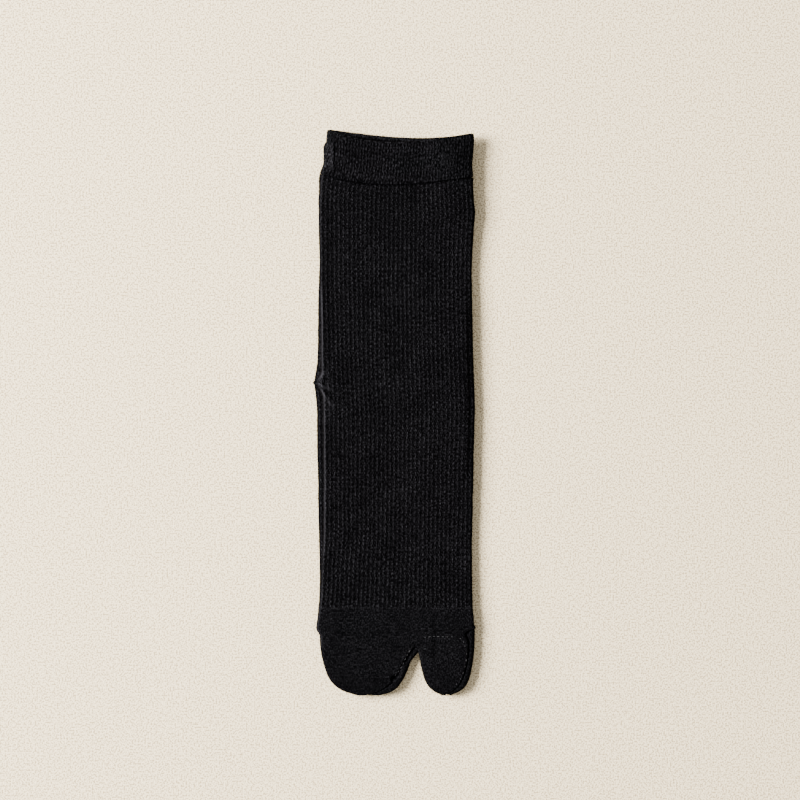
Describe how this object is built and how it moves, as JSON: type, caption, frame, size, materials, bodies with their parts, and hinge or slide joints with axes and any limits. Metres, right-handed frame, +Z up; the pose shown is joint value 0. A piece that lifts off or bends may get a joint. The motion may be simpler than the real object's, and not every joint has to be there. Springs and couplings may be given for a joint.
{
  "type": "pair of split-toe socks",
  "caption": "Split-toe crew socks in fine ribbed knit, laid flat and stacked one on the other, with a band cuff, a smooth toe and a separate big toe.",
  "frame": {"origin": "middle of the pair on the surface it lies on", "axes": "+Y from the toes to the cuffs, +Z up from the surface, +X across the socks towards the big toe"},
  "size_m": [0.0974, 0.3388, 0.0115],
  "materials": {
    "rib_knit": "matte ribbed cotton knit, near black",
    "cuff_knit": "matte fine elastic rib, near black",
    "plain_knit": "matte plain knit, near black"
  },
  "bodies": {
    "root": {"upper_cuff": "cuff_knit", "upper_leg_and_foot": "rib_knit", "upper_heel": "plain_knit", "upper_toes": "plain_knit", "lower_cuff": "cuff_knit", "lower_leg_and_foot": "rib_knit", "lower_heel": "plain_knit", "lower_toes": "plain_knit"}
  },
  "joints": []
}
